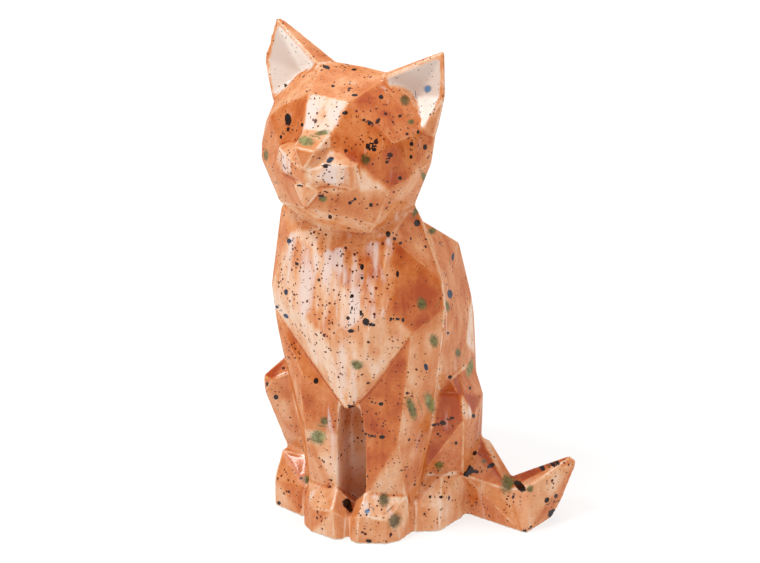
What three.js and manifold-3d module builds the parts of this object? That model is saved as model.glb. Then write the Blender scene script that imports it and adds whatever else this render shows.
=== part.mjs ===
// A seated cat figurine in glazed, slip-cast ceramic, cut all over into flat facets like a folded paper
// model. It looks a little to its right, its tail comes round on its left and ends in a raised point.
// It was cast in one piece, so it is one solid. Millimetres, +Z up, the cat faces -Y and its left is +X.
// The underside is at z = 0 and x = 0 is the middle of the body.
import * as THREE from 'three';
import { ConvexGeometry } from 'three/addons/geometries/ConvexGeometry.js';
import { mergeVertices } from 'three/addons/utils/BufferGeometryUtils.js';
import Module from 'manifold-3d';

// Driving sizes. The height is from the floor to the tip of the higher ear, and every corner below is a
// share of it: the corners are drawn on a cat 178 high.
const figureHeight = 178;
const drawnHeight = 178;
const share = figureHeight / drawnHeight;

// How the head sits: turned to the cat's right and leaning a little to its left, with its middle here.
const headTurn = THREE.MathUtils.degToRad(-12);
const headLean = THREE.MathUtils.degToRad(2);
const headMiddle = [-6, -28, 145].map((length) => length * share);

// Half the gap between the front paws, how deep the fold inside each ear is, and how much further out the
// right ear stands.
const halfPawGap = 0.8;
const earFold = 4;
const rightEarOut = 0.8;

// A row of corners: mid() is one on the body's middle plane, pair() is one on each side of it.
const at = (x, y, z) => [new THREE.Vector3(x, y, z).multiplyScalar(share)];
const mid = (y, z) => at(0, y, z);
const pair = (x, y, z) => [...at(x, y, z), ...at(-x, y, z)];

const wasm = await Module();
wasm.setup();

// A solid from a closed geometry.
function solidOf(geometry) {
  geometry.deleteAttribute('normal');
  geometry.deleteAttribute('uv');
  const merged = mergeVertices(geometry, 1e-4);
  return new wasm.Manifold(new wasm.Mesh({
    numProp: 3,
    vertProperties: new Float32Array(merged.attributes.position.array),
    triVerts: new Uint32Array(merged.index.array),
  }));
}

// A faceted block: the flat faces that wrap its corners.
function block(...corners) {
  return solidOf(new ConvexGeometry(corners.flat()));
}

// The same block on the cat's left side, s = 1, and its right, s = -1.
function onBothSides(makeCorners) {
  return [1, -1].map((s) => block(...makeCorners((x, y, z) => at(s * x, y, z), s)));
}

// Chest: the collar edge on top, then the shoulders, and the shield-shaped plate that ends in a point
// between the front legs. The neck leans to the side that the head looks to.
function chest() {
  const seam = [
    at(-22.3, -29, 113), at(-13.9, -33.5, 112), at(9.6, -33.5, 116), at(17, -26, 119.5), at(-27, -18, 117),
  ];
  const collarEdge = [
    at(-31.2, -20, 114), at(-24.5, -31, 108.7), at(-11.5, -37, 105.3), at(-5, -37, 105.4), at(14, -35.5, 113.3),
    at(19, -22, 118.4),
  ];
  const shoulders = [pair(30, -29, 97), pair(31.5, -30, 88), pair(30.8, -29.5, 80)];
  const plate = [
    at(-17.3, -39, 82.7), at(-6.6, -42.5, 77), at(9.5, -42.5, 85.7), at(16.6, -39.5, 87.7), at(22, -37, 79.8),
    mid(-42, 50.5),
  ];
  const behind = [pair(22, -2, 92), mid(10, 98), pair(25, 0, 50), at(12, -12, 120), at(-22, -10, 120)];
  return block(...seam, ...collarEdge, ...shoulders, ...plate, ...behind);
}

// Back: from the nape down over the flank to the rump, which stands on the floor.
function back() {
  const nape = [at(17, -9, 109.8), at(-25, -9, 109), at(-4, -2, 112)];
  const withers = [pair(20, 22.5, 91), pair(23, 12.5, 95), mid(22, 97)];
  const flank = [pair(26, 19.3, 72.5), pair(30.5, -1.5, 63.5), pair(28.4, 16.5, 51)];
  const rump = [pair(24.4, 28.3, 62), pair(24.4, 30.2, 50), mid(38, 66), mid(46, 44), mid(48, 20)];
  const foot = [
    pair(20, 40, 20), pair(19, 40, 0), mid(46, 0), pair(27, 29, 0), pair(27, 29, 14), pair(26, 10, 0),
  ];
  const shoulders = [pair(29.6, -28.4, 96.6), pair(30.4, -28.9, 80.3), pair(27.6, -26.5, 60)];
  return block(...nape, ...withers, ...flank, ...rump, ...foot, ...shoulders);
}

// Thigh and shin of a hind leg, with the flat knee face that looks outwards. The right knee, on the
// -X side, sits a little lower and further out.
const haunches = () => onBothSides((p, s) => [
  p(27, -23.5, 53), p(30, -18, 56.5), p(31, -10.5, 56), p(29, 12, 51),
  ...(s > 0 ? [p(34, -23, 54), p(36, -22.5, 53)] : [p(33, -26.5, 50.5), p(37.8, -23.5, 50)]),
  p(36.2, 1.5, 43), p(38, -16, 43), p(37, -24.5, 44.5),
  p(34.7, 6.5, 35), p(26, -24, 43), p(24, -21, 28), p(34.5, -2, 21), p(33.5, -13, 18.6), p(20, -20, 18),
  p(31.5, 15, 38), p(28.4, 23.5, 16), p(28, 28, 0), p(33, 5, 0), p(20, -10, 0), p(15, 20, 0),
]);

// Hind feet, the right one further out and a little further forward.
const hindFeet = () => onBothSides((p, s) => {
  const out = s > 0 ? 29 : 33.6;
  return [
    p(17, -20, 18), p(out - 1, -20, 20), p(33, -12, 18), p(21, -28.5, 10.5), p(out, -25.5, 10.8), p(33.2, -9, 11),
    p(21, s > 0 ? -28.8 : -31, 0), p(out, -25.5, 0), p(33.5, -13, 0), p(33, 5, 0), p(33, 5, 15), p(12, -15, 0),
  ];
});

// Front legs: the upper part narrows to the knee line, the lower part stands straight.
const upperLegs = () => onBothSides((p, s) => [
  ...(s > 0 ? [p(22, -37, 79.8)] : [p(29, -30.5, 72), p(17.5, -37, 58)]),
  p(30.8, -29.5, 80), p(28, -27.2, 59), p(25, -24, 39),
  p(18.8, -36.5, 53), p(17.3, -36.3, 38), p(5, -36.8, 38), p(3.3, -39, 53),
  p(6, -20, 38), p(22, -10, 38), p(22, -5, 70), p(5, -15, 60),
]);
const lowerLegs = () => onBothSides((p) => [
  p(17.3, -36.3, 38), p(5, -36.8, 38), p(25, -24, 39),
  p(13.6, -33, 15), p(5, -36.6, 15), p(18.5, -29, 16), p(18, -27, 0), p(5, -34, 0), p(12, -30, 0),
  p(6, -20, 38), p(22, -10, 38), p(6, -20, 0), p(18, -10, 0),
]);

const frontPaws = () => onBothSides((p) => [
  p(5.2, -37.3, 17.5), p(13.5, -32.8, 15), p(18.5, -30, 15.5), p(1, -36, 13),
  p(5, -43.6, 11.6), p(14, -39.7, 9.2), p(halfPawGap, -41, 8), p(19.5, -32, 9),
  p(halfPawGap, -42, 0), p(4, -43.5, 0), p(14, -40.5, 0), p(18, -37, 0), p(20, -29, 0), p(14, -15, 0), p(3, -15, 0),
]);

// The ceramic that closes the gap behind the front legs.
function web() {
  return block(
    pair(8, -24, 52), pair(8, -22, 0), pair(22, -12, 52), pair(22, -12, 0), pair(20, 20, 50), pair(20, 20, 0),
  );
}

// Tail: it leaves the rump behind, comes round to the cat's left as a thick wedge and ends in the raised
// point.
function tail() {
  const root = block(
    at(-14, 42, 0), at(-10, 42, 16), at(4, 49.5, 15), at(2, 50.5, 0), at(20, 45, 0), at(20, 43.5, 12), at(17, 36, 19),
    at(33, 27, 0), at(32, 24, 10.5), at(28, 24, 14), at(20, 24, 0),
  );
  const wedge = block(
    at(32.3, 12, 20.9), at(34, 0, 21), at(36, 2, 17.3), at(35.5, 14, 18.9), at(37.2, 14, 13.9), at(42, 10, 9.2),
    at(47.6, 1, 12.5), at(33, -12, 17), at(33, -9, 11), at(33.5, -9.5, 0), at(49.9, -12, 13.8), at(56.6, -16.6, 0),
    at(30, 26, 10.5), at(33, 27, 0), at(28, 30, 0), at(44, 8, 0), at(20, 10, 0),
  );
  const point = block(
    at(47.6, 1, 12.5), at(49.9, -12, 13.8), at(58.4, -14, 17.8), at(56.6, -16.6, 0), at(58, -17.2, 0), at(69, 0, 24.4),
    at(71.6, 0.5, 22.5), at(67, -2, 7.6), at(63.5, -2.5, 0), at(66.5, 6, 21), at(60, 8, 8), at(44, 8, 0), at(58, 6, 0),
  );
  return [root, wedge, point];
}

// The head stands in a frame of its own, facing -Y, with its middle at the origin.
function placeHead(solid) {
  const turn = new THREE.Matrix4().makeRotationZ(headTurn);
  const lean = new THREE.Matrix4().makeRotationY(headLean);
  const move = new THREE.Matrix4().makeTranslation(...headMiddle);
  return solid.transform(move.multiply(turn).multiply(lean).elements);
}

// The skull is a little fuller on the right cheek than on the left one.
function skull() {
  const crown = [pair(12.3, 6, 19.8), pair(9.5, 12, 19.9), mid(13, 19.9)];
  const brow = [
    pair(7.8, -9, 14.8), pair(4.9, -15.2, 5), pair(19.3, -7.5, 8), pair(23.9, -7, 3.5), pair(22, 7, 15),
    pair(28.4, 3, 5.7), pair(31, 8, 2.8),
  ];
  const cheeks = [
    pair(20.3, -9, 0.8), pair(15.5, -14, -4), pair(17, -13, -13.2), pair(31.2, 6, -5.7), pair(31, 8, 1),
    at(24.2, -9, -12.2), at(28.6, -3.2, -8.6), at(-26, -8.8, -12), at(-29.8, -3.2, -9), at(-31.2, 1.5, -2.5),
  ];
  const jaw = [
    pair(5, -20.6, -13.5), mid(-21.6, -20), pair(19, -8, -26), pair(22.6, 11, -23), mid(-2.6, -35.5),
    pair(12, -2, -33.5), pair(20, 14, -28),
  ];
  const rear = [pair(25, 20, 2), pair(21, 23, -14), pair(14, 24, 14), mid(28, 4), mid(26, -18)];
  return block(...crown, ...brow, ...cheeks, ...jaw, ...rear);
}

// The nose: a short bridge that ends in a triangle looking forwards and up.
function nose() {
  return block(
    pair(4.9, -15.4, 5.2), pair(4.1, -23.1, 1), mid(-24, -6.4), pair(4.4, -21, -2.5), pair(6.4, -14.5, 1.5),
    mid(-10, -10),
  );
}

// The puffed lip on each side of the nose, which meet under it, and the chin.
function lips() {
  return onBothSides((p) => [
    p(0, -23, -6.5), p(0, -22.8, -11), p(6.1, -21.8, -4.2), p(6.4, -14.8, 1.3), p(15.3, -15.4, -3.7),
    p(16.9, -13.2, -13.3), p(5.9, -21.4, -9.3), p(12, -5, 0), p(12, -5, -14), p(0, -5, -5),
  ]);
}
function chin() {
  return block(pair(5, -21.6, -13.2), mid(-22.6, -11), mid(-22, -20.3), pair(5, -12, -13), mid(-10, -24));
}

// An ear: a thick leaf with a hollow in its front, folded along the line from the tip to the brow.
function ear(s) {
  const out = s > 0 ? 0 : rightEarOut;
  const p = (x, y, z) => at(s * (x + out), y, z);
  const leaf = block(
    p(32.2, 9.6, 31.9), p(31, 12, 31.2), p(34.8, 6.8, 17.8), p(32.4, 11, 17.5), p(31.4, 7.4, 3), p(12, 5, 20.6),
    p(9.3, 12, 19.9), p(28.4, 3, 5.5), p(28.8, 14, 4), p(14, 17, 16), p(22, 4, 2),
  );
  const hollow = block(
    p(31.4, 9.3, 29.9), p(32.9, 6.7, 17.5), p(29, 3, 5.5), p(12.6, 4.5, 20.2), p(22, 7.5 + earFold, 14),
    p(31.4, 0, 29.9), p(32.9, -2, 17.5), p(29, 0, 5.5), p(12.6, 0, 20.2),
  );
  return leaf.subtract(hollow);
}

function head() {
  return [skull(), nose(), ...lips(), chin(), ear(1), ear(-1)].map(placeHead);
}

const pieces = [
  chest(), back(), ...haunches(), ...hindFeet(), ...upperLegs(), ...lowerLegs(), ...frontPaws(), web(), ...tail(),
  ...head(),
];
const whole = pieces.reduce((sum, piece) => sum.add(piece));

function meshOf(solid, name, material) {
  const { vertProperties, triVerts } = solid.getMesh();
  const geometry = new THREE.BufferGeometry();
  geometry.setAttribute('position', new THREE.Float32BufferAttribute(vertProperties, 3));
  geometry.setIndex([...triVerts]);
  const mesh = new THREE.Mesh(geometry, material);
  mesh.name = name;
  return mesh;
}

const glaze = new THREE.MeshStandardMaterial({ color: 0xdc9060, roughness: 0.2, metalness: 0 });
const cat = new THREE.Group();
cat.add(meshOf(whole, 'cat', glaze));
export default cat;
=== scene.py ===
# A seated cat figurine, slip cast in one piece and cut all over into flat facets. It has a glossy glaze,
# brushed on in orange over white, full of dark specks and green, black and blue crystals.
import math
import random

import bmesh
import bpy
from mathutils import Matrix, Vector, geometry
from mathutils.bvhtree import BVHTree
from mathutils.kdtree import KDTree


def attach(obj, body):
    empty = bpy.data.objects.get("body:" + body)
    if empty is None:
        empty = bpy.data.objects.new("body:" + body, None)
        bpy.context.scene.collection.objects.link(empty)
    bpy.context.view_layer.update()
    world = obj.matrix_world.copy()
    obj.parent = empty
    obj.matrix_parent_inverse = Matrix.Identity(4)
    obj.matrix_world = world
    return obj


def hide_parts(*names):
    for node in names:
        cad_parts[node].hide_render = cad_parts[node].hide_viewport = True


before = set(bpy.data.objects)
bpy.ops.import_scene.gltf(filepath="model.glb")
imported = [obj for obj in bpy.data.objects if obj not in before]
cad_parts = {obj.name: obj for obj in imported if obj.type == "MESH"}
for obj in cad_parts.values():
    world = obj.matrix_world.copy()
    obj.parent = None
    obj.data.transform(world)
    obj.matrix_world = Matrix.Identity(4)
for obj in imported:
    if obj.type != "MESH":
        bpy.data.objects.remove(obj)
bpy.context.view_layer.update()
scene = bpy.context.scene


# The camera
# It looks down at the cat from a little to the cat's left of its front, with a long lens. The crystals and
# the brush strokes of the glaze are placed from here, by where they show in the picture.
photo_wide = 760
photo_tall = 563
pixels_per_metre_of_lens = 2176
camera_azimuth = math.radians(19)
camera_elevation = math.radians(22)
camera_distance = 0.8
towards_camera = Vector((
    math.sin(camera_azimuth) * math.cos(camera_elevation),
    -math.cos(camera_azimuth) * math.cos(camera_elevation),
    math.sin(camera_elevation),
))
camera_right = Vector((math.cos(camera_azimuth), math.sin(camera_azimuth), 0))
camera_up = towards_camera.cross(camera_right)
looked_at = 0.076 * camera_up - 0.002 * camera_right
camera_place = looked_at + camera_distance * towards_camera

lens = bpy.data.cameras.new("camera")
lens.sensor_fit = "HORIZONTAL"
lens.sensor_width = 36
lens.lens = lens.sensor_width * pixels_per_metre_of_lens / photo_wide
lens.clip_start = 0.05
lens.clip_end = 20
camera = bpy.data.objects.new("camera", lens)
turned = Matrix((camera_right, camera_up, towards_camera)).transposed().to_4x4()
camera.matrix_world = Matrix.Translation(camera_place) @ turned
scene.collection.objects.link(camera)
scene.camera = camera


# The cast body
# One hollow casting in white clay. Its arrises are sponged off before firing and the glaze fills what is
# left, so each edge between two facets is a small round, and each inner corner has a fillet. Glaze has also
# run together between the front paws.
clay_grain = 0.00081
sponge_strokes = 3
run_glaze_middle = (0, -0.0345, 0.0042)
run_glaze_size = (0.0026, 0.0115, 0.0076, 1)

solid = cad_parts["cat"]
facets = bmesh.new()
facets.from_mesh(solid.data)
bmesh.ops.remove_doubles(facets, verts=facets.verts, dist=1e-6)
facets.normal_update()
facets.faces.ensure_lookup_table()
rough_mesh = bpy.data.meshes.new("rough_cast")
with_run_glaze = facets.copy()
between_paws = Matrix.Translation(run_glaze_middle) @ Matrix.Diagonal(run_glaze_size)
bmesh.ops.create_cube(with_run_glaze, size=1, matrix=between_paws)
with_run_glaze.to_mesh(rough_mesh)
with_run_glaze.free()
rough = bpy.data.objects.new("rough_cast", rough_mesh)
scene.collection.objects.link(rough)
grain = rough.modifiers.new("grain", "REMESH")
grain.mode = "VOXEL"
grain.voxel_size = clay_grain
sponge = rough.modifiers.new("sponge", "SMOOTH")
sponge.factor = 0.5
sponge.iterations = sponge_strokes
bpy.context.view_layer.update()
body = bmesh.new()
body.from_object(rough, bpy.context.evaluated_depsgraph_get())
bpy.data.objects.remove(rough)
bmesh.ops.recalc_face_normals(body, faces=body.faces)
body.normal_update()
for face in body.faces:
    face.smooth = True
body.verts.ensure_lookup_table()

# The facet that each point came from, and how near it is to an arris, where the glaze runs thin and pale,
# or to an inner corner, where it pools. A few arrises, each given by a point in the picture, were brushed
# over with more glaze and don't show.
least_arris_angle = math.radians(13)
full_arris_angle = math.radians(55)
least_mark = 0.72
mark_step = 0.0003
brushed_over = ((527.5, 492), (528, 515), (450, 393), (444, 393), (458, 393))
mark_reach = 0.0023
facet_tree = BVHTree.FromBMesh(facets)
facet_of = [facet_tree.find_nearest(point.co)[2] for point in body.verts]


def met_by_sight(tree, across, down):
    sight = (
        camera_right * (across - photo_wide / 2)
        + camera_up * (photo_tall / 2 - down)
        - towards_camera * pixels_per_metre_of_lens
    )
    return tree.ray_cast(camera_place, sight.normalized())


def nearness(edges):
    marks = []
    for edge in edges:
        start, end = (corner.co for corner in edge.verts)
        bend = abs(edge.calc_face_angle_signed(0.0)) - least_arris_angle
        strength = least_mark + (1 - least_mark) * min(1.0, bend / (full_arris_angle - least_arris_angle))
        steps = max(1, int((end - start).length / mark_step))
        marks += [(start.lerp(end, step / steps), strength) for step in range(steps + 1)]
    marked = KDTree(len(marks))
    for index, (mark, strength) in enumerate(marks):
        marked.insert(mark, index)
    marked.balance()
    nearest = [marked.find(point.co) for point in body.verts]
    return [marks[index][1] * max(0.0, 1.0 - distance / mark_reach) for _, index, distance in nearest]


def off_edge(edge, place):
    start, end = (corner.co for corner in edge.verts)
    share = geometry.intersect_point_line(place, start, end)[1]
    return (place - start.lerp(end, min(1.0, max(0.0, share)))).length


def rubbed(values, strokes):
    for _ in range(strokes):
        values = [
            (values[point.index] + sum(values[edge.other_vert(point).index] for edge in point.link_edges))
            / (1 + len(point.link_edges))
            for point in body.verts
        ]
    return values


sharp = [edge for edge in facets.edges if abs(edge.calc_face_angle_signed(0.0)) > least_arris_angle]
for across, down in brushed_over:
    touched = met_by_sight(facet_tree, across, down)[0]
    sharp.remove(min(sharp, key=lambda edge: off_edge(edge, touched)))
arris = nearness([edge for edge in sharp if edge.calc_face_angle_signed(0.0) > 0])
inner_corner = nearness([edge for edge in sharp if edge.calc_face_angle_signed(0.0) < 0])

cat_mesh = bpy.data.meshes.new("glazed_cat")
body.to_mesh(cat_mesh)
cat = bpy.data.objects.new("glazed_cat", cat_mesh)
scene.collection.objects.link(cat)
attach(cat, "root")
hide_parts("cat")


def keep_on_body(name, kind, values):
    layer = cat_mesh.attributes.new(name, kind, "POINT")
    field = {"FLOAT": "value", "FLOAT_VECTOR": "vector", "FLOAT_COLOR": "color"}[kind]
    layer.data.foreach_set(field, values)


keep_on_body("arris", "FLOAT", arris)
keep_on_body("inner_corner", "FLOAT", inner_corner)


# The brushed facets, with painted light and shade
# Each facet has its own thickness of glaze, because it was brushed by hand: thin glaze is pale peach, thick
# glaze is deep orange, and white shows through where two strokes part. Each entry is a facet, by a point on
# it in the picture, how thick its glaze is and how much white shows, both from about 0 to 1. The points and
# the whites were chosen one by one. The thicknesses were tuned with a script that compared the picture with
# a render at these points.
# Some thicknesses and whites also carry painted light and shade: a facet gets paler glaze where it should
# look more lit than the lamps make it, and deeper glaze where it should look more shaded.
brushed_facets_and_painted_light = (
    # head; the first entry, on the forehead, is pale glaze with a painted highlight
    (325, 113, 0.02, 0.70), (350, 82, 0.52, 0.00), (290, 108, 0.74, 0.00), (290, 92, 0.46, 0.05),
    (272, 140, 0.60, 0.00), (385, 110, 0.74, 0.00), (360, 128, 0.84, 0.00), (385, 168, 0.92, 0.00),
    (412, 152, 0.74, 0.00), (412, 118, 0.68, 0.00), (312, 140, 0.43, 0.00), (303, 157, 0.55, 0.05),
    (325, 145, 0.20, 0.45), (340, 160, 0.30, 0.55), (345, 178, 0.34, 0.72), (312, 175, 0.28, 0.72),
    (285, 168, 0.30, 0.72), (303, 193, 0.36, 0.05), (345, 207, 0.56, 0.05), (285, 195, 0.50, 0.05),
    (420, 178, 0.46, 0.05), (402, 168, 0.88, 0.00), (380, 195, 0.70, 0.00), (330, 190, 0.24, 0.18),
    (270, 170, 0.16, 0.25), (272, 112, 0.38, 0.00), (300, 215, 0.34, 0.05), (400, 200, 0.72, 0.00),
    (412, 195, 0.34, 0.05),
    # inside the ears, where less white means more painted shade on the clear glaze: the facet of each hollow
    # turned from the light is painted grey-beige, the lit one bright cream
    (270, 60, 0.10, 0.15), (300, 60, 0.10, 1.00), (275, 88, 0.10, 0.35), (405, 82, 0.10, 0.00),
    (430, 97, 0.10, 1.00),
    # chest and shoulders
    (300, 235, 0.10, 0.25), (345, 240, 0.52, 0.20), (425, 245, 0.80, 0.00), (440, 255, 0.64, 0.00),
    (290, 265, 0.22, 0.52), (322, 290, 0.36, 0.66), (305, 280, 0.34, 0.62), (360, 270, 0.60, 0.70),
    (384, 285, 0.44, 0.62), (425, 285, 0.84, 0.00), (425, 325, 0.40, 0.05), (385, 335, 0.32, 0.26),
    (330, 352, 0.06, 0.34), (345, 345, 0.40, 0.32), (300, 325, 0.13, 0.20), (455, 290, 0.58, 0.05),
    (454, 325, 0.58, 0.05), (471, 340, 0.03, 0.42),
    # forelegs
    (292, 362, 0.61, 0.00), (322, 405, 0.72, 0.00), (385, 410, 0.80, 0.00), (425, 380, 0.56, 0.00),
    (325, 458, 0.24, 0.08), (385, 468, 0.38, 0.10), (413, 455, 0.60, 0.05),
    # between the forelegs, where thin pale glaze is painted light that lifts the shade in the gap
    (339, 450, 0.20, 0.00), (347, 450, 0.26, 0.00), (350, 430, 0.26, 0.00), (345, 420, 0.26, 0.00),
    # hind legs
    (271, 377, 1.10, 0.00), (278, 415, 0.53, 0.00), (296, 470, 0.66, 0.00), (287, 500, 0.38, 0.05),
    (448, 405, 1.00, 0.00), (453, 386, 0.80, 0.00), (467, 404, 0.20, 0.60), (476, 400, 1.00, 0.00),
    (472, 386, 0.64, 0.00), (440, 428, 0.96, 0.00), (458, 445, 0.62, 0.10), (455, 377, 0.92, 0.00),
    (475, 425, 0.56, 0.10), (428, 492, 0.34, 0.10), (425, 515, 0.41, 0.05), (455, 495, 0.32, 0.05),
    # front paws
    (325, 498, 0.34, 0.10), (325, 522, 0.29, 0.05), (376, 507, 0.31, 0.50), (372, 532, 0.46, 0.05),
    (402, 512, 0.31, 0.30),
    # tail
    (495, 470, 1.05, 0.00), (505, 500, 0.42, 0.00), (535, 510, 0.31, 0.10), (488, 447, 0.26, 0.05),
    (495, 495, 0.64, 0.00), (512, 479, 0.96, 0.00), (545, 495, 0.36, 0.10), (557, 472, 0.40, 0.08),
    (540, 473, 0.40, 0.05),
)
flat_angle = math.radians(2)
same_facet_angle = math.radians(9)
middling_thickness = (0.38, 0.66)
middling_white = 0.05
brush_strokes = 2


def facet_round(first, widest_angle):
    found = {first}
    still_to_search = [first]
    while still_to_search:
        face = still_to_search.pop()
        for edge in face.edges:
            for other in edge.link_faces:
                if other not in found and other.normal.angle(first.normal, 3) < widest_angle:
                    found.add(other)
                    still_to_search.append(other)
    return found


chance = random.Random(11)
thickness_and_painted_light_of = {}
white_and_painted_light_of = {}
for widest_angle in (flat_angle, same_facet_angle):
    for across, down, thickness_and_painted_light, white_and_painted_light in brushed_facets_and_painted_light:
        _, _, index, _ = met_by_sight(facet_tree, across, down)
        for face in facet_round(facets.faces[index], widest_angle):
            thickness_and_painted_light_of.setdefault(face.index, thickness_and_painted_light)
            white_and_painted_light_of.setdefault(face.index, white_and_painted_light)
for face in sorted(facets.faces, key=lambda one: -one.calc_area()):
    if face.index not in thickness_and_painted_light_of:
        thickness_and_painted_light = chance.uniform(*middling_thickness)
        for other in facet_round(face, same_facet_angle):
            thickness_and_painted_light_of.setdefault(other.index, thickness_and_painted_light)
            white_and_painted_light_of.setdefault(other.index, middling_white)

# Each point takes its facet's thickness and white, painted light and shade included, rubbed a little across
# the arrises.
thickness_and_painted_light = rubbed([thickness_and_painted_light_of[index] for index in facet_of], brush_strokes)
white_and_painted_light = rubbed([white_and_painted_light_of[index] for index in facet_of], brush_strokes)
keep_on_body("thickness_and_painted_light", "FLOAT", thickness_and_painted_light)
keep_on_body("white_and_painted_light", "FLOAT", white_and_painted_light)


# The ear insides
# The hollow of each ear is left out of the orange and has a clear glaze over the white clay. Its corners, in
# millimetres in the head's own place, are those of the hollow that the solid has.
ear_hollow = (
    (31.4, 9.3, 29.9), (32.9, 6.7, 17.5), (29, 3, 5.5), (12.6, 4.5, 20.2), (22, 11.5, 14),
    (31.4, 0, 29.9), (32.9, -2, 17.5), (29, 0, 5.5), (12.6, 0, 20.2),
)
right_ear_out = 0.8
close_enough = 0.0001
facing_it = -0.9
head_place = (
    Matrix.Translation((-0.006, -0.028, 0.145))
    @ Matrix.Rotation(math.radians(-12), 4, "Z")
    @ Matrix.Rotation(math.radians(2), 4, "Y")
)
inside_facets = set()
for side, out in ((1, 0), (-1, right_ear_out)):
    hollow = bmesh.new()
    for x, y, z in ear_hollow:
        hollow.verts.new(head_place @ (Vector((side * (x + out), y, z)) / 1000))
    bmesh.ops.convex_hull(hollow, input=hollow.verts)
    hollow.normal_update()
    hollow_tree = BVHTree.FromBMesh(hollow)
    for face in facets.faces:
        outwards = hollow_tree.find_nearest(face.calc_center_median(), close_enough)[1]
        if outwards is not None and face.normal.dot(outwards) < facing_it:
            inside_facets.add(face.index)
    hollow.free()
ear_inside = rubbed([float(index in inside_facets) for index in facet_of], 2 * brush_strokes)
keep_on_body("ear_inside", "FLOAT", ear_inside)


# The crystals
# Grains of coloured glass frit in the glaze, which melt into soft green and blue blooms and crisp black
# flecks as it is fired. Each entry is one, by its middle in the picture, its width and height there, how
# far it leans in degrees, and its colour.
pale_green = (0.225, 0.270, 0.090)
green = (0.120, 0.145, 0.035)
dark_green = (0.090, 0.080, 0.016)
blue = (0.02, 0.19, 0.42)
slate = (0.03, 0.05, 0.10)
black = (0.020, 0.006, 0.004)
brown = (0.05, 0.009, 0.004)
blooms = (
    (306, 141, 17, 10, -15, pale_green), (322, 133, 15, 5, 10, green), (266, 155, 5, 11, 0, green),
    (405, 100, 9, 11, 0, dark_green), (411, 122, 6, 5, 0, green), (365.5, 159.5, 9, 10, 0, dark_green),
    (424, 177, 5, 10, 25, green), (323, 199, 8, 6, 0, green), (432, 231, 9, 6, 30, green),
    (416, 211, 5, 11, -25, green), (422, 304, 9, 12, 10, green), (447, 306, 5, 11, 15, green),
    (434, 341, 8, 13, 15, green), (458, 353, 6, 9, 10, green), (470, 368, 7, 17, -20, pale_green),
    (357, 365, 12, 9, -20, green), (412, 409, 8, 25, 18, green), (430, 403, 9, 22, 18, pale_green),
    (318, 437, 15, 15, 0, pale_green), (324, 421, 8, 8, 0, green), (439, 465, 9, 8, 0, green),
    (308, 480, 7, 8, 0, green), (384, 500, 10, 13, 0, dark_green), (395, 521, 11, 15, -20, dark_green),
    (508, 483, 12, 14, 30, green), (530, 489, 7, 7, 0, green), (484, 461, 5, 4, 0, green),
    (427.6, 89, 7, 7, 0, blue), (367, 511.5, 5, 4, 0, blue),
)
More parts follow.
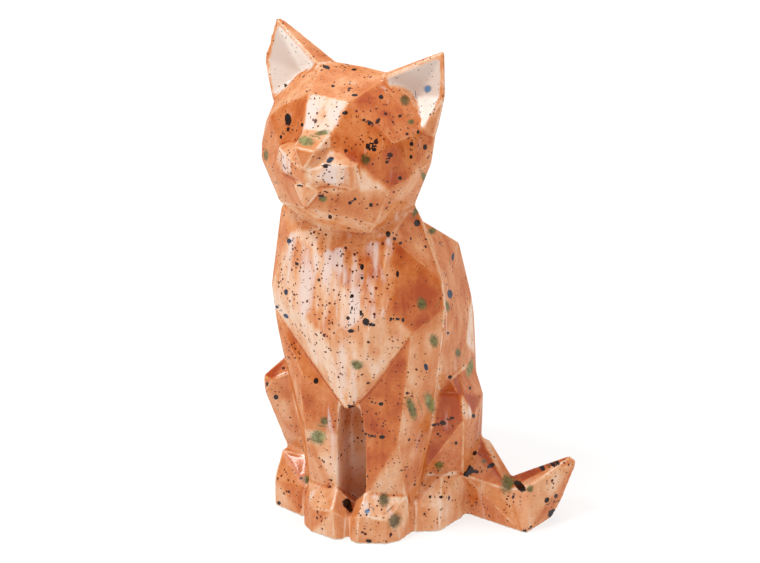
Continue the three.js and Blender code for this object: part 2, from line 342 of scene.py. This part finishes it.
flecks = (
    (288, 119.5, 7, 13, 10, black), (330, 160, 8, 5, 40, slate), (325, 166, 6, 4, -20, black),
    (345, 113, 6, 4, 10, black), (368, 146.5, 5, 6, 0, black), (374, 149.5, 5, 4, 0, black),
    (381, 97, 5, 5, 20, black), (369.5, 123, 4, 5, 0, black), (364, 120, 3, 3, 0, black),
    (378, 121, 7, 4, 60, brown), (425, 147, 4, 6, 0, black), (411.5, 144, 4, 4, 0, black),
    (411, 157, 3, 4, 0, black), (400, 178, 4, 4, 0, black), (400, 116, 4, 3, 20, black),
    (390, 155, 6, 5, 0, brown), (387, 162, 4, 3, 0, brown), (376, 142, 5, 5, 0, brown),
    (326.5, 67, 8, 4, -20, black), (354, 69.5, 5, 3, 0, black), (354.5, 95, 6, 3, 0, black),
    (333, 86, 4, 3, 0, brown), (286, 86, 3, 5, 20, black), (302, 125, 3, 4, 0, black),
    (418, 132, 3, 4, 0, black), (288, 130, 3, 3, 0, black), (281, 137, 3, 4, 0, black),
    (330, 217, 4, 4, 20, black), (371, 205, 4, 4, 0, black), (350, 203, 4, 3, 0, black),
    (355, 199, 3, 3, 0, black), (321, 196, 6, 3, 0, brown), (300, 185.5, 6, 2, -10, black),
    (417, 223, 6, 7, 0, black), (388, 234, 5, 6, 0, black), (407, 134, 3, 3, 0, black),
    (366, 322, 7, 8, 20, black), (351, 331, 6, 4, 0, black), (361, 313, 3, 6, 0, black),
    (373, 325, 5, 3, 0, black), (362, 267, 4, 6, 0, black), (362, 278, 3, 3, 0, black),
    (352, 296, 4, 4, 0, black), (352, 308, 2, 4, 0, brown), (348, 318, 4, 4, 0, brown),
    (286, 292, 4, 6, 0, slate), (286, 316, 6, 4, -30, slate), (277, 307, 4, 3, -30, slate),
    (289, 241, 5, 5, 0, slate), (319, 280, 3, 3, 0, black), (297, 264, 4, 3, 0, black),
    (450, 294, 6, 9, 10, slate), (453, 257, 3, 9, -15, slate), (426, 367, 4, 8, 15, slate),
    (397.5, 274, 3, 6, 0, black), (403, 320, 3, 4, 0, black), (397, 319, 3, 3, 0, black),
    (391, 319, 3, 3, 0, black), (448, 333, 3, 3, 0, slate), (316, 381, 5, 6, 0, black),
    (352, 407, 8, 3, 0, black), (382, 437, 6, 4, 0, black), (381, 404, 5, 4, 0, black),
    (372, 402, 3, 2, 0, brown), (372, 436, 4, 3, 0, brown), (365, 434, 4, 3, 0, brown),
    (474, 416, 4, 5, 20, black), (470, 388, 3, 3, 0, black), (450, 377, 4, 4, 20, black),
    (475, 453, 5, 5, 0, black), (470, 470, 7, 9, 20, black), (466, 474, 7, 5, 0, black),
    (477, 472, 4, 3, 0, black), (491, 465.5, 8, 4, 15, black), (519, 485, 12, 7, -35, black),
    (541, 466, 8, 4, -30, black), (552, 464, 5, 3, -30, black), (557, 462, 4, 3, -30, black),
    (552, 513, 9, 10, -30, black), (547, 500, 5, 6, -40, black), (556, 496, 4, 5, 0, black),
    (524.5, 531, 4, 3, 0, black), (531, 527, 3, 3, 0, black), (513, 497, 2, 4, 0, black),
    (349, 505, 6, 14, 10, black), (369, 541, 6, 4, -10, black), (279, 503, 4, 4, 0, black),
    (276, 397, 5, 5, 0, black), (267, 384, 3, 4, 0, black), (441, 497, 4, 3, 0, black),
    (430, 497, 3, 3, 0, black), (449, 498, 2, 5, 0, slate), (452, 418, 5, 3, 0, brown),
    (443, 423, 6, 5, 0, brown), (456, 443, 3, 4, 0, black), (434, 425, 5, 3, 0, brown),
)
# How far round a crystal its pattern is kept, and what stands for no crystal near.
reach = 3.0
lift = 0.003
far_off = Vector((9.0, 9.0, 9.0))
no_colour = (0.5, 0.5, 0.5, 1.0)

body_tree = BVHTree.FromBMesh(body)
near = KDTree(len(body.verts))
for point in body.verts:
    near.insert(point.co, point.index)
near.balance()


def lay_crystals(name, crystals):
    from_middle = [far_off] * len(body.verts)
    colours = [no_colour] * len(body.verts)
    for across, down, wide, tall, lean, colour in crystals:
        middle, facing, _, _ = met_by_sight(body_tree, across, down)
        pixel = (camera_place - middle).dot(towards_camera) / pixels_per_metre_of_lens
        size = max(wide, tall) / 2 * pixel
        turn = Matrix.Rotation(math.radians(lean), 2)
        for place, index, _ in near.find_range(middle, reach * size + lift):
            out = (place - middle).dot(facing)
            flat = place - facing * out - middle
            seen = turn @ Vector((flat.dot(camera_right), -flat.dot(camera_up))) / pixel
            away = Vector((seen.x * 2 / wide, seen.y * 2 / tall, out / size))
            if away.length < from_middle[index].length:
                from_middle[index] = away
                colours[index] = (*colour, 1.0)
    keep_on_body(name, "FLOAT_VECTOR", [number for away in from_middle for number in away])
    keep_on_body(name + "_colour", "FLOAT_COLOR", [number for colour in colours for number in colour])


lay_crystals("bloom", blooms)
lay_crystals("fleck", flecks)
body.free()
facets.free()


# The glaze
# Thin glaze is pale peach and thick glaze is deep orange. It was brushed downwards, so it is streaked that
# way, and its own iron gathers in fine dark specks. The underside is wiped bare, so that the cat doesn't
# stick to the kiln shelf.
glaze = bpy.data.materials.new("brushed_glaze")
glaze.use_nodes = True
tree = glaze.node_tree
tree.nodes.clear()


def node(kind, settings=(), **inputs):
    made = tree.nodes.new(kind)
    for name, value in dict(settings).items():
        setattr(made, name, value)
    for name, value in inputs.items():
        socket = made.inputs[int(name[1:])] if name[1:].isdigit() else made.inputs[name]
        if isinstance(value, bpy.types.NodeSocket):
            tree.links.new(value, socket)
        else:
            socket.default_value = value
    return made


def sum_of(kind, first, second, third=0.0, clamp=False):
    made = node("ShaderNodeMath", {"operation": kind, "use_clamp": clamp}, _0=first, _1=second, _2=third)
    return made.outputs[0]


def kept(name, output="Fac"):
    return node("ShaderNodeAttribute", {"attribute_name": name}).outputs[output]


def noise(place, scale, detail=2.0, output="Fac"):
    return node("ShaderNodeTexNoise", Vector=place, Scale=scale, Detail=detail).outputs[output]


def spread(value, low, high, to_low=0.0, to_high=1.0):
    made = node("ShaderNodeMapRange", {"interpolation_type": "SMOOTHSTEP"}, _0=value, _1=low, _2=high,
                _3=to_low, _4=to_high)
    return made.outputs[0]


def blend(amount, under, over, kind="MIX"):
    made = node("ShaderNodeMix", {"data_type": "RGBA", "blend_type": kind}, _0=amount, _6=under, _7=over)
    return made.outputs[2]


place = node("ShaderNodeTexCoord").outputs["Object"]
brushed = node("ShaderNodeMapping", Vector=place, Scale=(1.0, 1.0, 0.13)).outputs[0]
cloud = noise(place, 105.0, 3.0)
streak = noise(brushed, 420.0, 3.0)
mottle = noise(place, 900.0, 2.0)

# How thick the glaze is at each point, from its facet, the brush and the arrises, with the painted light and
# shade that the facets carry.
depth_and_painted_light = sum_of("MULTIPLY_ADD", sum_of("SUBTRACT", cloud, 0.5), 0.95, kept("thickness_and_painted_light"))
streaked = sum_of("MULTIPLY_ADD", kept("white_and_painted_light"), 1.1, 0.35)
depth_and_painted_light = sum_of("MULTIPLY_ADD", sum_of("SUBTRACT", streak, 0.5), streaked, depth_and_painted_light)
depth_and_painted_light = sum_of("MULTIPLY_ADD", sum_of("SUBTRACT", mottle, 0.5), 0.20, depth_and_painted_light)
worn = sum_of("MULTIPLY_ADD", sum_of("SUBTRACT", noise(place, 210.0, 2.0), 0.5), 0.45, kept("arris"))
thin = spread(worn, 0.62, 0.96)
pooled = spread(kept("inner_corner"), 0.55, 0.95)
depth_and_painted_light = sum_of("MULTIPLY_ADD", thin, -0.52, depth_and_painted_light)
depth_and_painted_light = sum_of("MULTIPLY_ADD", pooled, 0.40, depth_and_painted_light, clamp=True)

ramp = node("ShaderNodeValToRGB", Fac=depth_and_painted_light)
ramp.color_ramp.elements[0].position = 0.05
ramp.color_ramp.elements[0].color = (0.86, 0.60, 0.44, 1)
ramp.color_ramp.elements[1].position = 0.97
ramp.color_ramp.elements[1].color = (0.42, 0.065, 0.010, 1)
for position, colour in (
    (0.28, (0.79, 0.415, 0.225, 1)), (0.50, (0.70, 0.265, 0.100, 1)), (0.74, (0.58, 0.150, 0.033, 1)),
):
    ramp.color_ramp.elements.new(position).color = colour
colour = ramp.outputs["Color"]

# White clay under parted brush strokes, which on the forehead facet is partly a painted highlight.
parted = noise(brushed, 230.0, 3.0)
bare_and_painted_highlight = sum_of("MULTIPLY_ADD", kept("white_and_painted_light"), 0.36, parted)
bare_and_painted_highlight = spread(bare_and_painted_highlight, 0.65, 0.85, 0.0, 0.85)
colour = blend(bare_and_painted_highlight, colour, (0.82, 0.65, 0.58, 1))

# The clear glaze in the ears: bright cream, with painted shade in grey-beige on the facet of each hollow
# turned from the light.
ear_glaze_and_painted_shade = blend(spread(kept("white_and_painted_light"), 0.0, 1.0), (0.72, 0.59, 0.51, 1), (0.96, 0.88, 0.80, 1))
colour = blend(spread(kept("ear_inside"), 0.50, 0.85), colour, ear_glaze_and_painted_shade)

# Fine dark specks, of two sizes, more of them where the white shows.
turned = node("ShaderNodeMapping", Vector=place, Rotation=(0.6, 0.9, 0.4)).outputs[0]
shaken = node(
    "ShaderNodeVectorMath", {"operation": "MULTIPLY_ADD"}, _0=noise(place, 700.0, 1.0, "Color"),
    _1=(0.0008, 0.0008, 0.0008), _2=turned,
).outputs[0]
crowd = spread(noise(place, 130.0, 1.0), 0.38, 0.62, 0.65, 1.0)
crowd = sum_of("MULTIPLY_ADD", kept("ear_inside"), -0.3, crowd)
more = sum_of("MULTIPLY_ADD", kept("white_and_painted_light"), 0.3, crowd)
for scale, most, power, crowded, shade in (
    (450.0, 0.31, 2.2, crowd, (0.055, 0.009, 0.004, 1)), (850.0, 0.38, 1.4, more, (0.140, 0.020, 0.005, 1)),
):
    cell = node("ShaderNodeTexVoronoi", Vector=shaken, Scale=scale)
    lot = node("ShaderNodeSeparateColor", Color=cell.outputs["Color"]).outputs[0]
    radius = sum_of("MULTIPLY", sum_of("POWER", sum_of("MULTIPLY", lot, crowded), power), most)
    speck = spread(sum_of("SUBTRACT", cell.outputs["Distance"], radius), 0.03, -0.03)
    colour = blend(speck, colour, shade)

# The crystals, with ragged edges.
ragged = noise(place, 1300.0, 2.0, "Color")
for name, rough_edge, soft, most_cover in (("bloom", 1.0, 0.45, 0.88), ("fleck", 0.7, 0.10, 1.0)):
    away = node(
        "ShaderNodeVectorMath", {"operation": "MULTIPLY_ADD"}, _0=ragged, _1=(rough_edge,) * 3,
        _2=kept(name, "Vector"),
    ).outputs[0]
    away = node(
        "ShaderNodeVectorMath", {"operation": "SUBTRACT"}, _0=away, _1=(rough_edge / 2,) * 3,
    ).outputs[0]
    far = node("ShaderNodeVectorMath", {"operation": "LENGTH"}, _0=away).outputs["Value"]
    pitted = spread(noise(place, 620.0, 3.0), 0.42, 0.60, 0.0, 0.75)
    shade = blend(pitted, kept(name + "_colour", "Color"), (0.30, 0.27, 0.22, 1), "MULTIPLY")
    colour = blend(spread(far, 1.0 + soft, 1.0 - soft, 0.0, most_cover), colour, shade)

# A gloss that swells a little from place to place, and the foot, wiped bare.
uneven = node("ShaderNodeBump", Height=noise(place, 160.0, 1.0), Strength=0.12, Distance=0.0006)
height = node("ShaderNodeSeparateXYZ", Vector=place).outputs["Z"]
glazed = spread(height, 0.0003, 0.0008)
colour = blend(glazed, (0.74, 0.68, 0.60, 1), colour)

surface = node("ShaderNodeBsdfPrincipled", Normal=uneven.outputs[0], Roughness=0.3)
surface.inputs["Specular IOR Level"].default_value = 0.0
surface.inputs["Coat Roughness"].default_value = 0.04
surface.inputs["Coat IOR"].default_value = 1.40
tree.links.new(colour, surface.inputs["Base Color"])
turned_away = node("ShaderNodeLayerWeight").outputs["Facing"]
gloss = sum_of("MULTIPLY", spread(turned_away, 0.30, 0.85, 1.0, 0.2), glazed)
tree.links.new(gloss, surface.inputs["Coat Weight"])
finished = node("ShaderNodeOutputMaterial")
tree.links.new(surface.outputs[0], finished.inputs["Surface"])
cat_mesh.materials.append(glaze)


# The floor
# A plain pale sweep of translucent plastic, lit from below so that the shadow on it stays faint.
floor_reach = 3.0
sweep = bmesh.new()
bmesh.ops.create_grid(sweep, x_segments=1, y_segments=1, size=floor_reach)
floor_mesh = bpy.data.meshes.new("floor")
sweep.to_mesh(floor_mesh)
sweep.free()
floor = bpy.data.objects.new("floor", floor_mesh)
scene.collection.objects.link(floor)
plastic = bpy.data.materials.new("lit_plastic")
plastic.use_nodes = True
sheet = plastic.node_tree.nodes["Principled BSDF"].inputs
sheet["Base Color"].default_value = (0.35, 0.35, 0.35, 1)
sheet["Roughness"].default_value = 0.9
sheet["Emission Color"].default_value = (1, 1, 1, 1)
sheet["Emission Strength"].default_value = 0.66
floor_mesh.materials.append(plastic)


# The studio light
# A soft box high on the left of the camera, a larger one overhead, and white walls all round. A small bright
# strip above the front draws the glints on the rounded arrises.
light_distance = 1.2
middle_of_cat = Vector((0, 0, 0.09))


def soft_box(name, direction, size, power):
    light = bpy.data.lights.new(name, "AREA")
    light.shape = "RECTANGLE"
    light.size, light.size_y = size
    light.energy = power
    box = bpy.data.objects.new(name, light)
    box.location = middle_of_cat + light_distance * direction.normalized()
    box.rotation_euler = direction.to_track_quat("Z", "Y").to_euler()
    scene.collection.objects.link(box)


soft_box("key", towards_camera - 1.2 * camera_right + camera_up, (0.7, 0.7), 4)
soft_box("strip", Vector((-0.30, -0.35, 0.85)), (0.40, 0.12), 3)
soft_box("overhead", Vector((0, 0, 1)) + 0.2 * camera_right, (4.0, 4.0), 39)
walls = bpy.data.worlds.new("walls")
scene.world = walls
walls.use_nodes = True
walls.node_tree.nodes["Background"].inputs["Color"].default_value = (1, 1, 1, 1)
walls.node_tree.nodes["Background"].inputs["Strength"].default_value = 0.34
scene.view_settings.view_transform = "Standard"
scene.view_settings.look = "None"
